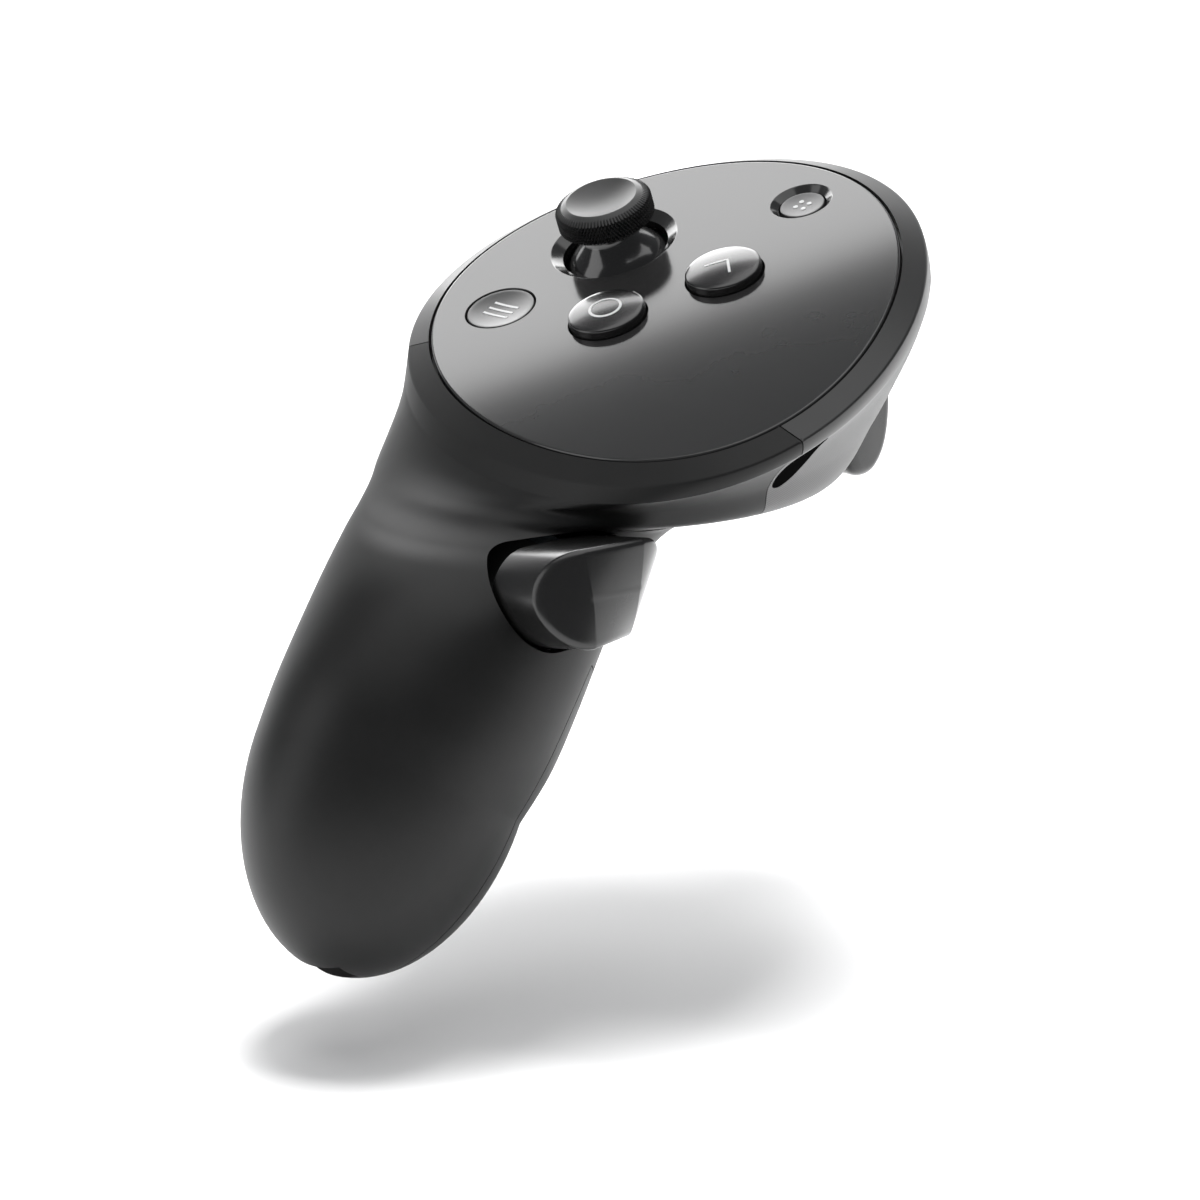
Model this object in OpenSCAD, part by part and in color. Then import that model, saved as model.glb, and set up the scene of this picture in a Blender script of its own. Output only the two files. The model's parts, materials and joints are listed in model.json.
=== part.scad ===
// Left-hand motion controller with a round face plate and a hanging grip.
// Plate frame: x to the user's right, y forward along the plate, z out of the plate's face.
// Grip frame: x as above, y towards the battery door, z up the battery's axis.
// The row frame has its origin on the strap pin, with the plate pitched nose up.

/* [Face plate] */
// Half length of the plate's egg outline
plate_a = 33.6; // [32:0.1:35]
// Half width of the egg outline
plate_b = 28.6; // [27:0.1:30]
// How much one end of the egg is wider than the other
egg_taper = 0.115; // [0.08:0.005:0.14]
// Blunting of the egg's wide end
egg_skew = 0.84; // [0.6:0.02:1]
// Direction of the egg's long axis from the user's right
egg_turn = 140.4; // [135:0.2:145]
// Thickness of the face plate
plate_t = 1.8; // [1.6:0.1:1.9]
// Nose-up pitch of the plate when the controller is held
plate_pitch = 21; // [15:1:25]

/* [Body] */
// Wall thickness of the shells
wall = 2; // [1.8:0.1:2.1]
// Width of the sloping bezel round the plate
bezel_w = 3; // [2.6:0.1:3.2]
// Where the front shell meets the handle shell, along the plate
split_y = -15.3; // [-16:0.1:-15]
// Angle of the handle below the plate
handle_tilt = 41; // [40:0.5:42]
// Angle of the battery and its door below the plate
grip_tilt = 31.4; // [31:0.2:32]
// Length of the rounded handle end
cap_len = 23.6; // [23:0.2:24]
// Seam gap between neighbouring shells
seam = 0.15; // [0.1:0.01:0.2]

/* [Controls] */
// Radius of the X and Y buttons
button_r = 4.7; // [4.4:0.1:4.9]
// Height of the X and Y buttons above the plate
button_rise = 1.3; // [1:0.1:1.6]
// Travel of the X and Y buttons
button_travel = 0.8; // [0.5:0.1:0.8]
// Radius of the menu button
menu_r = 4.2; // [4:0.1:4.5]
// Radius of the home button
home_r = 2.8; // [2.6:0.1:3]
// Radius of the thumbstick's cap
cap_r = 5.6; // [5.2:0.1:5.8]
// Radius of the hole round the thumbstick
stick_hole_r = 6.6; // [6.4:0.1:6.8]
// Width of the trigger
trigger_w = 17.5; // [15:0.5:18]
// Length of the grip button
grip_len = 19; // [18:0.2:20]
// Height of the grip button
grip_h = 11.6; // [11:0.1:12]
// How deep the grip button's walls reach, from the handle's middle
grip_back = 12; // [11.8:0.1:12.4]

/* [Battery] */
// Radius of the AA cell
cell_r = 7.1; // [7:0.05:7.2]
// Length of the AA cell's body
cell_len = 49; // [48.5:0.1:49.2]

/* [Hidden] */
$fn = 48;

ring_n = 56;        // points round each ring of the shell
core_n = 40;        // points round each ring of the hollow
// Shell stations from the plate to the grip: rear y, rear z, front y, front z, centre x,
// half width, and how much of the ring still follows the egg outline.
stations = [
    [-28.7,   0.0,  32.9,   0.0,  0.0, 30.0, 1.0],
    [-31.7,  -1.6,  35.9,  -1.6,  0.0, 33.0, 1.0],
    [-33.6,  -3.0,  36.2,  -5.2, -3.0, 29.0, 0.9],
    [-35.0,  -3.6,  32.0, -11.5, -3.5, 28.5, 0.55],
    [-36.6,  -3.9,  23.0, -20.0, -4.0, 28.0, 0.2],
    [-38.7,  -4.0,  13.5, -26.0, -4.0, 27.0, 0],
    [-41.2,  -4.1,   4.0, -23.8, -5.0, 22.5, 0],
    [-45.0,  -3.9,  -6.7, -20.0, -4.4, 19.3, 0],
    [-49.5,  -3.7, -18.0, -19.8, -3.0, 17.8, 0],
    [-55.5,  -4.4, -28.5, -25.0, -1.5, 17.3, 0],
    [-62.5,  -6.6, -37.0, -31.4, -0.7, 16.6, 0],
    [-68.0,  -9.2, -44.2, -36.2, -0.3, 16.1, 0],
    [-73.0, -13.0, -50.8, -39.0, -0.3, 15.5, 0]];
last = len(stations) - 1;

stick_at = [-17.3, 10.3];
stick_pivot_z = -6;
x_at = [-6.5, -3.7];
y_at = [1.8, 8.8];
menu_at = [-21.7, -6.4];
home_at = [0.45, 25.6];
boss_at = [[-4, -15], [16, -7], [12, 9]];
button_gap = 0.2;
board_z = -5.8;     // underside of the main board
board_t = 1;
frame_z = -13.2;    // underside of the head frame
frame_t = 1.2;
flange_z = -2.1;    // top of the buttons' flanges
flange_t = 0.8;

trigger_x = -13;    // left side of the trigger
trigger_pivot = [22, -9.6];
trigger_pin_r = 0.9;
trigger_gap = 0.6;
trigger_slot_z = -12;       // upper edge of the trigger's slot
magnet_at = [21, -15];
lug_t = 1.4;
lug_side = [[17.2, frame_z], [22.2, frame_z], [24, -11.2], [24, -6.6], [17.2, -6.6]];

grip_at = [-12.7, 37.9];    // origin of the grip button's frame: y, distance down the handle
grip_face_turn = -13.7;     // the button faces this far round from the right towards the front
grip_face_dip = -6.2;
grip_roll = 27.2;
grip_shift = -1.2;          // the outline's middle along the button
pad_oval = [1.1, -18.6, 21.8, 13.3];    // oval that the button's face follows: centre, half axes
grip_guide_x = [9.9, 2.7];  // start and length of the guide along the pressing axis

tray_screw_z = [-70, -44];
tray_end = 75;              // distance down the grip to the tray's lower end
cell_y = -5.2;
bay_end = 84.4;             // distance down the grip to the bay's lower end
cell_top = 31.8;            // distance down the grip to the cell's upper end
door_y = -2.2;
door_top = 45;

pin_r = 0.9;
pin_at = [-7, 87.2];        // strap pin in the grip frame: y, distance down
notch = [8, 3.8, 5.4];

// The row's origin, at the strap pin's middle, in the unpitched plate frame
strap = [0, -cos(grip_tilt) * pin_at[1] + sin(grip_tilt) * pin_at[0],
    -sin(grip_tilt) * pin_at[1] - cos(grip_tilt) * pin_at[0]];

// ---- frames ----
module at_plate() {
    rotate([plate_pitch, 0, 0]) translate(-strap) children();
}
module at_grip() {
    at_plate() rotate([grip_tilt - 90, 0, 0]) children();
}
module grip_frame() {
    rotate([grip_tilt - 90, 0, 0]) children();
}
module handle_frame() {
    rotate([handle_tilt - 90, 0, 0]) children();
}
module pad_frame() {
    handle_frame() translate([0, grip_at[0], -grip_at[1]]) rotate([0, 0, grip_face_turn])
        rotate([0, grip_face_dip, 0]) rotate([grip_roll, 0, 0]) children();
}
module at_stick() {
    at_plate() translate([stick_at[0], stick_at[1], stick_pivot_z]) children();
}
module along_x(x, r, h) {
    translate([x, 0, 0]) rotate([0, 90, 0]) cylinder(r = r, h = h);
}
module along_y(y, r, h) {
    translate([0, y, 0]) rotate([-90, 0, 0]) cylinder(r = r, h = h);
}

// ---- outlines and lofts ----
function egg_point(phi, off) =
    let (t = phi - egg_turn,
        u = (plate_a + off) * cos(t) - egg_skew * cos(2 * t),
        w = (plate_b + off) * sin(t) * (1 + egg_taper * cos(t)))
    [-0.3 + u * cos(egg_turn) - w * sin(egg_turn), 0.8 + u * sin(egg_turn) + w * cos(egg_turn)];
function egg(off, n) = [for (i = [0 : n - 1]) egg_point(360 * i / n, off)];
function flat_ring(off, z, n) = [for (p = egg(off, n)) [p[0], p[1], z]];

function spline(a, b, c, d, t) = 0.5 * (2 * b + (c - a) * t + (2 * a - 5 * b + 4 * c - d) * t * t
    + (3 * b - a - 3 * c + d) * t * t * t);
function at_station(tab, i, t) = i < 2 ? tab[i] + (tab[i + 1] - tab[i]) * t
    : spline(i == 2 ? 2 * tab[i] - tab[i + 1] : tab[i - 1], tab[i], tab[i + 1], tab[min(i + 2, last)], t);

function rear(s) = [s[0], s[1]];
function front(s) = [s[2], s[3]];
function step(tab, i, side) = side == 0 ? rear(tab[min(i + 1, last)]) - rear(tab[i - 1])
    : front(tab[min(i + 1, last)]) - front(tab[i - 1]);
// The stations moved inwards by w, square to the rear and front profiles, and by side * w at the flanks
function inset(tab, w, side = 1) = [for (i = [0 : last]) i < 2 ? tab[i] :
    let (r = step(tab, i, 0), f = step(tab, i, 1))
    [tab[i][0] - r[1] / norm(r) * w, tab[i][1] + r[0] / norm(r) * w,
        tab[i][2] + f[1] / norm(f) * w, tab[i][3] - f[0] / norm(f) * w,
        tab[i][4], tab[i][5] - side * w, tab[i][6]]];

function ring(s, off, n) =
    let (e = egg(off, n), ys = [for (p = e) p[1]], lo = min(ys), hi = max(ys))
    [for (i = [0 : n - 1]) let (phi = 360 * i / n,
        x = s[6] * e[i][0] + (1 - s[6]) * (s[4] + s[5] * cos(phi)),
        t = s[6] * (e[i][1] - lo) / (hi - lo) + (1 - s[6]) * (0.5 + 0.5 * sin(phi)))
        [x, s[0] + (s[2] - s[0]) * t, s[1] + (s[3] - s[1]) * t]];
// The rounded end: the last ring shrinks as it moves down the handle
function end_ring(s, a, length, n) =
    let (base = ring(s, 0, n), my = (s[0] + s[2]) / 2, mz = (s[1] + s[3]) / 2)
    [for (p = base) [p[0] * cos(a), my + (p[1] - my) * cos(a) - length * sin(a) * cos(handle_tilt),
        mz + (p[2] - mz) * cos(a) - length * sin(a) * sin(handle_tilt)]];
function body_rings(tab, first, off, length, n, steps, ends) = concat(
    [for (i = [first : last - 1], j = [0 : steps - 1])
        ring(at_station(tab, i, j / steps), off * min(1, i + j / steps), n)],
    [for (k = [0 : ends - 1]) end_ring(tab[last], 88 * k / (ends - 1), length, n)]);

module skin(rings) {
    n = len(rings[0]);
    m = len(rings);
    polyhedron(points = [for (r = rings, p = r) p], faces = concat(
        [[for (i = [0 : n - 1]) n - 1 - i]],
        [for (k = [0 : m - 2], i = [0 : n - 1]) let (a = k * n + i, b = k * n + (i + 1) % n)
            [a, b, b + n]],
        [for (k = [0 : m - 2], i = [0 : n - 1]) let (a = k * n + i, b = k * n + (i + 1) % n)
            [a, b + n, a + n]],
        [[for (i = [0 : n - 1]) (m - 1) * n + i]]), convexity = 6);
}
module outer() {
    skin(body_rings(stations, 0, bezel_w, cap_len, ring_n, 3, 9));
}
module hollow(w = wall, off = -bezel_w) {
    skin(concat([flat_ring(-1.6, 1, core_n), flat_ring(-1.6, -3.2, core_n)],
        body_rings(inset(stations, w, 1.3), 2, off, cap_len - w - 3.4, core_n, 2, 6)));
}
// Round bay that the cell and its spring lie in
module battery_bay() {
    grip_frame() translate([0, cell_y, -bay_end]) cylinder(r = cell_r + 0.4, h = bay_end - cell_top);
}
module stadium(l, w) {
    for (s = [-1, 1]) translate([s * (l - w) / 2, 0]) circle(d = w);
    square([l - w, w], center = true);
}
// Prism of the grip button's outline, grown by g, along its pressing axis
module grip_prism(g, x0, x1) {
    pad_frame() translate([x0, grip_shift, 0]) rotate([90, 0, 90]) linear_extrude(x1 - x0)
        stadium(grip_len + 2 * g, grip_h + 2 * g);
}
module door_region(g) {
    grip_frame() translate([-30, door_y - g, -110]) cube([60, 40, 110 - door_top + g]);
}
module window_side_prism(g) {
    translate([15, 0, 0]) rotate([90, 0, 90]) linear_extrude(25) offset(delta = g)
        polygon([[-14.7, -9.9], [-14.7, -7.6], [-14, -5.6], [-12.6, -4.2], [-11, -4],
            [-10.2, -5.4], [-10.6, -8], [-11.9, -10], [-13.5, -10.7]]);
}
module window_front_prism(g) {
    translate([22, 23, -7.6]) rotate([0, 0, 45]) translate([-9, 0, 0]) rotate([90, 0, 90])
        linear_extrude(20) offset(r = 1.5 + g, $fn = 24) square([5, 5], center = true);
}
module trigger_opening() {
    translate([trigger_x - trigger_gap, 14.5, -45])
        cube([trigger_w + 2 * trigger_gap, 22, 45 + trigger_slot_z]);
}
module strap_notch() {
    grip_frame() translate([-notch[0] / 2, pin_at[0] - notch[1] / 2, -pin_at[1] - notch[2]])
        cube([notch[0], notch[1], notch[2] + 2.6]);
}
module body_shell() {
    difference() {
        outer();
        hollow();
        battery_bay();
        translate([0, 0, -plate_t]) linear_extrude(plate_t + 1) polygon(egg(seam, 96));
        grip_prism(0.6, 4, 40);
        trigger_opening();
        strap_notch();
    }
}
module front_region(g) {
    translate([-50, split_y + g, -60]) cube([100, 100, 70]);
}

// ---- shells ----
module face_plate() color("#55565a") at_plate() difference() {
    union() {
        translate([0, 0, -plate_t]) linear_extrude(plate_t) polygon(egg(0, 96));
        for (p = boss_at) translate([p[0], p[1], frame_z + frame_t])
            cylinder(r = 2, h = -plate_t - frame_z - frame_t);
    }
    translate([stick_at[0], stick_at[1], 0]) {
        translate([0, 0, -3]) cylinder(r = stick_hole_r, h = 4);
        translate([0, 0, -0.9]) cylinder(r1 = stick_hole_r, r2 = stick_hole_r + 1.4, h = 1);
    }
    for (b = [x_at, y_at]) translate([b[0], b[1], -3]) cylinder(r = button_r + button_gap, h = 4);
    translate([menu_at[0], menu_at[1], -3]) cylinder(r = menu_r + button_gap, h = 4);
    translate([home_at[0], home_at[1], -3]) cylinder(r = home_r + button_gap, h = 4);
    translate([home_at[0], home_at[1], -0.7]) cylinder(r1 = home_r + button_gap, r2 = home_r + 1.1, h = 0.8);
    for (p = boss_at) translate([p[0], p[1], frame_z]) cylinder(r = 0.85, h = 8);
}
module front_shell() color("#3b3c3f") at_plate() resize([0, 0, 0]) difference() {
    intersection() {
        body_shell();
        front_region(seam / 2);
    }
    window_side_prism(0.05);
    window_front_prism(0.05);
}
module handle_shell() color("#26272a") at_plate() difference() {
    resize([0, 0, 0]) difference() {
        body_shell();
        front_region(-seam / 2);
        door_region(seam);
    }
    grip_frame() translate([0, pin_at[0], -pin_at[1]]) along_x(-notch[0] / 2 - 1.6, pin_r, notch[0] + 3.2);
}
module battery_door() color("#28292c") at_plate() resize([0, 0, 0]) intersection() {
    body_shell();
    door_region(0);
}
module window_skin(w) {
    difference() {
        outer();
        hollow(w, bezel_w - 2 * w);
    }
}
module window_side() color("#0c0c0e") at_plate() resize([0, 0, 0]) intersection() {
    window_skin(1.2);
    window_side_prism(0);
}
module window_front() color("#0c0c0e") at_plate() resize([0, 0, 0]) intersection() {
    window_skin(1.2);
    window_front_prism(0);
}

// ---- head internals ----
module head_frame() color("#8b8f94") at_plate() difference() {
    union() {
        translate([0, 0, frame_z]) linear_extrude(frame_t) polygon(egg(-12.6, 72));
        for (x = [trigger_x - 0.3 - lug_t, trigger_x + trigger_w + 0.3])
            translate([x, 0, 0]) rotate([90, 0, 90]) linear_extrude(lug_t) polygon(lug_side);
    }
    translate([trigger_x - 0.3, 11, frame_z - 1]) cube([trigger_w + 0.6, 20, 12]);
    translate([0, trigger_pivot[0], trigger_pivot[1]]) along_x(-30, trigger_pin_r, 60);
    for (p = boss_at) translate([p[0], p[1], frame_z - 1]) cylinder(r = 1.1, h = 4);
}
module board_outline() {
    difference() {
        polygon(egg(-6.5, 72));
        translate(stick_at) circle(r = 8.3);
        for (p = boss_at) translate(p) circle(r = 2.4);
    }
}
module main_board() color("#1d5a36") at_plate() translate([0, 0, board_z])
    linear_extrude(board_t) board_outline();
control_at = [x_at, y_at, menu_at, home_at];
control_r = [button_r, button_r, menu_r, home_r];
module button_mat() color("#9aa0a3") at_plate() {
    top = flange_z - flange_t;
    base = board_z + board_t;
    for (i = [0 : 3]) translate([control_at[i][0], control_at[i][1], base]) difference() {
        cylinder(r = control_r[i] + 1.4, h = 0.4);
        translate([0, 0, -1]) cylinder(r = 2.6, h = 3);
    }
    for (i = [0 : 3]) translate([control_at[i][0], control_at[i][1], base + 0.4]) difference() {
        cylinder(r = control_r[i] + 0.2, h = top - base - 0.4);
        translate([0, 0, -1]) cylinder(r = control_r[i] - 0.4, h = 3);
    }
}
module tact_switches() color("#b9bcc0") at_plate()
    for (p = control_at) translate([p[0], p[1], board_z + board_t]) {
        translate([-1.6, -1.6, 0]) cube([3.2, 3.2, 0.6]);
        translate([0, 0, 0.6]) cylinder(r = 0.8, h = 0.3);
    }
// A round push button: cap, flange below the plate, and a crowned or dished top
module round_button(p, r, rise, dish) {
    translate([p[0], p[1], 0]) difference() {
        union() {
            translate([0, 0, flange_z - flange_t]) cylinder(r = r + 0.9, h = flange_t);
            translate([0, 0, flange_z - 0.1]) cylinder(r = r, h = rise - flange_z + 0.1 - 0.3);
            translate([0, 0, rise - 0.3]) cylinder(r1 = r, r2 = r - 0.3, h = 0.3);
        }
        if (dish > 0) translate([0, 0, rise + r * r / (2 * dish)])
            sphere(r = r * r / (2 * dish) + dish * 0.8, $fn = 96);
    }
}
module button_x() color("#1b1b1d") at_plate() round_button(x_at, button_r, button_rise, 0);
module button_y() color("#1b1b1d") at_plate() round_button(y_at, button_r, button_rise, 0);
module button_menu() color("#2a2b2d") at_plate() round_button(menu_at, menu_r, -0.05, 0);
module button_home() color("#3a3b3e") at_plate() round_button(home_at, home_r, -0.5, 0);

// ---- thumbstick ----
housing = 12.5;
yoke_x = 4.1;
yoke_y = 3.5;
module stick_housing() color("#2d2e31") at_stick() difference() {
    union() {
        translate([-housing / 2, -housing / 2, -5.7]) cube([housing, housing, 4.1]);
        for (a = [0 : 90 : 270]) rotate([0, 0, a]) translate([5, -1.4, -2]) cube([0.8, 2.8, 3.2]);
    }
    translate([-4.9, -4.9, -5]) cube([9.8, 9.8, 8]);
    along_x(-8, 0.72, 16);
    along_y(-8, 0.72, 16);
}
module stick_yoke() color("#c7c9cc") at_stick() difference() {
    union() {
        translate([-yoke_x, -yoke_y, -0.9]) cube([2 * yoke_x, 2 * yoke_y, 1.8]);
        along_x(-5.75, 0.68, 11.5);
    }
    translate([-2.4, -2.3, -2]) cube([4.8, 4.6, 4]);
    along_y(-5, 0.62, 10);
}
module stick_shaft() color("#d6d8da") at_stick() {
    translate([0, 0, -3]) cylinder(r = 1.3, h = 12);
    along_y(-3.3, 0.57, 6.6);
}
module stick_arc() color("#b2b5b8") at_stick() difference() {
    union() {
        intersection() {
            rotate([0, 90, 0]) translate([0, 0, -2.1]) cylinder(r = 4.75, h = 4.2);
            translate([-3, -6, 0.4]) cube([6, 12, 6]);
        }
        for (s = [-1, 1]) translate([-1.2, s * 4.45 - 0.25, -0.9]) cube([2.4, 0.5, 2.2]);
        along_y(-5.75, 0.68, 1.35);
        along_y(4.4, 0.68, 1.35);
    }
    rotate([0, 90, 0]) translate([0, 0, -4]) cylinder(r = 4.2, h = 8);
    translate([-1.55, -3.5, 2]) cube([3.1, 7, 6]);
}
module stick_sensors() color("#46331f") at_stick() {
    translate([housing / 2 + 0.05, -3.5, -5.6]) cube([1.6, 7, 4]);
    translate([-3.5, -housing / 2 - 1.65, -5.6]) cube([7, 1.6, 4]);
}
module click_switch() color("#e0e0dc") at_stick() {
    translate([-2, -2, -5]) cube([4, 4, 0.7]);
    translate([0, 0, -4.3]) cylinder(r = 1, h = 0.4);
}
module coil(r, wire, pitch, turns) {
    for (i = [0 : turns - 1]) translate([0, 0, i * pitch]) rotate_extrude()
        translate([r, 0]) circle(r = wire, $fn = 16);
}
module stick_spring() color("#d9dbdd") at_stick() translate([0, 0, -3.9]) coil(3, 0.25, 0.55, 3);
module stick_dome() color("#121214") at_stick() difference() {
    union() {
        intersection() {
            sphere(r = 7.4, $fn = 64);
            translate([-8, -8, 2.4]) cube([16, 16, 6]);
        }
        translate([0, 0, 5]) cylinder(r1 = 4.6, r2 = 3.2, h = 3.2);
        translate([0, 0, 8]) cylinder(r = 3.2, h = 1.2);
    }
    sphere(r = 6.6, $fn = 64);
    cylinder(r = 1.36, h = 9.5, $fn = 48);
}
module stick_cap() color("#1a1a1c") at_stick() difference() {
    union() {
        translate([0, 0, 8.8]) cylinder(r1 = cap_r - 1, r2 = cap_r, h = 0.8);
        translate([0, 0, 9.6]) cylinder(r = cap_r, h = 2);
        translate([0, 0, 11.6]) cylinder(r1 = cap_r, r2 = cap_r - 1, h = 0.9);
    }
    translate([0, 0, 8]) cylinder(r = 3.25, h = 1.25);
    translate([0, 0, 8]) cylinder(r = 1.36, h = 1.5);
    translate([0, 0, 11.4 + 14]) sphere(r = 14, $fn = 96);
}

// ---- trigger ----
trigger_side = [[23.6, -7.1], [25, -9], [25.9, -12.4], [28.8, -16.6], [29.5, -22], [28.8, -28.6],
    [26, -34.4], [22.4, -36.8], [19.2, -35.6], [18.4, -32], [18.8, -25], [18.7, -18], [18.9, -11],
    [20, -7.6], [22, -6.7]];
module trigger() color("#141416") at_plate() difference() {
    translate([trigger_x, 0, 0]) rotate([90, 0, 90]) linear_extrude(trigger_w) polygon(trigger_side);
    translate([0, trigger_pivot[0], trigger_pivot[1]]) {
        along_x(-30, trigger_pin_r + 0.06, 60);
        along_x(trigger_x + trigger_w - 3.6, 3.9, 8);
    }
    translate([0, magnet_at[0], magnet_at[1]]) along_x(trigger_x + trigger_w - 1.5, 1.5, 4);
}
module trigger_pin() color("#c9ccd0") at_plate() translate([0, trigger_pivot[0], trigger_pivot[1]])
    along_x(trigger_x - 0.3 - lug_t, trigger_pin_r, trigger_w + 0.6 + 2 * lug_t);
module trigger_spring() color("#d9dbdd") at_plate()
    translate([trigger_x + trigger_w - 2.9, trigger_pivot[0], trigger_pivot[1]])
    rotate([0, 90, 0]) coil(2.3, 0.35, 0.8, 4);
module trigger_magnet() color("#a8abb0") at_plate() translate([0, magnet_at[0], magnet_at[1]])
    along_x(trigger_x + trigger_w - 1.5, 1.5, 1.4);
module trigger_sensor() color("#1d5a36") at_plate()
    translate([trigger_x + trigger_w + 0.4, magnet_at[0] - 4.4, magnet_at[1] - 1.4]) cube([0.8, 5, 3]);

// ---- grip button ----
// Oval column that the grip button's face is part of
module pad_form() {
    handle_frame() translate([pad_oval[0], pad_oval[1], -70]) linear_extrude(60)
        polygon([for (i = [0 : 95]) [pad_oval[2] * cos(360 * i / 96), pad_oval[3] * sin(360 * i / 96)]]);
}
module grip_button() color("#101012") at_plate() union() {
    difference() {
        intersection() {
            grip_prism(0, grip_back, 34);
            pad_form();
        }
        pad_frame() along_x(grip_back - 1, 2.6, 4.5);
    }
    pad_frame() along_x(grip_back - 0.2, 1.2, 4.2);
}
module grip_guide() color("#8b8f94") at_plate() pad_frame() difference() {
    union() {
        along_x(grip_guide_x[0], 1.8, grip_guide_x[1]);
        along_x(grip_guide_x[0], 2.2, 0.7);
    }
    along_x(0, 1.28, 20);
}
module grip_spring() color("#d9dbdd") at_plate() pad_frame()
    translate([grip_guide_x[0] + grip_guide_x[1] + 0.3, 0, 0]) rotate([0, 90, 0]) coil(1.65, 0.25, 0.6, 3);

// ---- battery and grip internals ----
module battery_tray() color("#1f2022") at_grip() difference() {
    translate([0, cell_y, -tray_end]) cylinder(r = cell_r + 1.5, h = tray_end - cell_top - 3);
    translate([0, cell_y, -90]) cylinder(r = cell_r + 0.4, h = 70);
    translate([-12, door_y - 1.2, -90]) cube([24, 20, 70]);
    for (z = tray_screw_z) translate([0, cell_y - cell_r - 0.4, z]) {
        along_y(-4, 0.9, 6);
        along_y(-0.9, 1.75, 6);
    }
}
module battery_cell() color("#7c8790") at_grip() translate([0, cell_y, -cell_top - cell_len - 1]) {
    cylinder(r = cell_r, h = cell_len);
    translate([0, 0, cell_len]) cylinder(r = 2.7, h = 0.9);
}
module cell_spring() color("#d9dbdd") at_grip()
    translate([0, cell_y, -cell_top - cell_len - 2.1]) coil(3.4, 0.3, 0.65, 2);
module cell_contact() color("#d0b26a") at_grip()
    translate([-4, cell_y - 3, -cell_top + 0.05]) cube([8, 6, 0.4]);
module haptic_motor() color("#b3b6ba") at_grip() translate([0, -19, -66]) cylinder(r = 3.6, h = 14);
module tracking_leds() color("#3a2430") at_plate() {
    translate([23.3, -13.4, -8.6]) cube([1.6, 2.4, 2.2]);
    translate([16.8, 17.8, -8.7]) rotate([0, 0, 45]) translate([0, -1.2, 0]) cube([1.6, 2.4, 2.2]);
}
module head_screws() color("#c9ccd0") at_plate()
    for (p = boss_at) translate([p[0], p[1], frame_z]) {
        translate([0, 0, -1]) cylinder(r = 1.7, h = 1);
        cylinder(r = 0.8, h = 6);
    }
module tray_screws() color("#c9ccd0") at_grip()
    for (z = tray_screw_z) translate([0, cell_y - cell_r - 0.4, z]) {
        along_y(-3.6, 0.8, 3.2);
        along_y(-0.8, 1.6, 0.7);
    }
module strap_pin() color("#d0d3d6") at_grip() translate([0, pin_at[0], -pin_at[1]])
    along_x(-notch[0] / 2 - 1.5, pin_r, notch[0] + 3);

face_plate();
front_shell();
handle_shell();
battery_door();
window_side();
window_front();
head_frame();
main_board();
button_mat();
tact_switches();
button_x();
button_y();
button_menu();
button_home();
stick_housing();
stick_yoke();
stick_shaft();
stick_arc();
stick_sensors();
click_switch();
stick_spring();
stick_dome();
stick_cap();
trigger();
trigger_pin();
trigger_spring();
trigger_magnet();
trigger_sensor();
grip_button();
grip_guide();
grip_spring();
battery_tray();
battery_cell();
cell_spring();
cell_contact();
haptic_motor();
tracking_leds();
head_screws();
tray_screws();
strap_pin();
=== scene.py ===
import json
import math

import bmesh
import bpy
import numpy as np
from mathutils import Matrix, Vector
from mathutils.bvhtree import BVHTree


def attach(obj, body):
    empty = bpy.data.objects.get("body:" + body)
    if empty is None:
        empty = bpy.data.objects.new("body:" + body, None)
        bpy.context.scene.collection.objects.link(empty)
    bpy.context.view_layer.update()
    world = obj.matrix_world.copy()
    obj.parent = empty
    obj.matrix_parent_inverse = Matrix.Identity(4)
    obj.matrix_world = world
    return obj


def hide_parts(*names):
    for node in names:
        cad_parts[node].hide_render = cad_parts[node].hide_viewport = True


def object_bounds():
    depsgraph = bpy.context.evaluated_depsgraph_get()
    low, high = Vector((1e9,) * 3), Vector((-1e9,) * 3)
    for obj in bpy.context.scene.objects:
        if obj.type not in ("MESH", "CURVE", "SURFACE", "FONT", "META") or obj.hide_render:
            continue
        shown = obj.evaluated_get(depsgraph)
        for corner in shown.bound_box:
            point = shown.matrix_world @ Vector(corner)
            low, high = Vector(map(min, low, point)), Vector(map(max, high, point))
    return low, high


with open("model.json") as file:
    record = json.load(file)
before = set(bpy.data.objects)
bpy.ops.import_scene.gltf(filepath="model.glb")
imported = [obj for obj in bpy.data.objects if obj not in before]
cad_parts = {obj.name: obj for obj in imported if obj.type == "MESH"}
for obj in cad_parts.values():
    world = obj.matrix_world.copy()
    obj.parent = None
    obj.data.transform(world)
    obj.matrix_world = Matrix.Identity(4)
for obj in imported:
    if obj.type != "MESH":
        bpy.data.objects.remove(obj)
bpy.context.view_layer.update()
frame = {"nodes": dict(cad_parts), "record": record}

# All sizes below are millimetres in the plate frame: x right, y forward along the plate, z out of
# its face. to_row() turns them into metres in the row frame.
MM = 0.001
FINE = 2          # mesh density: 2 for the closing renders

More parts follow.
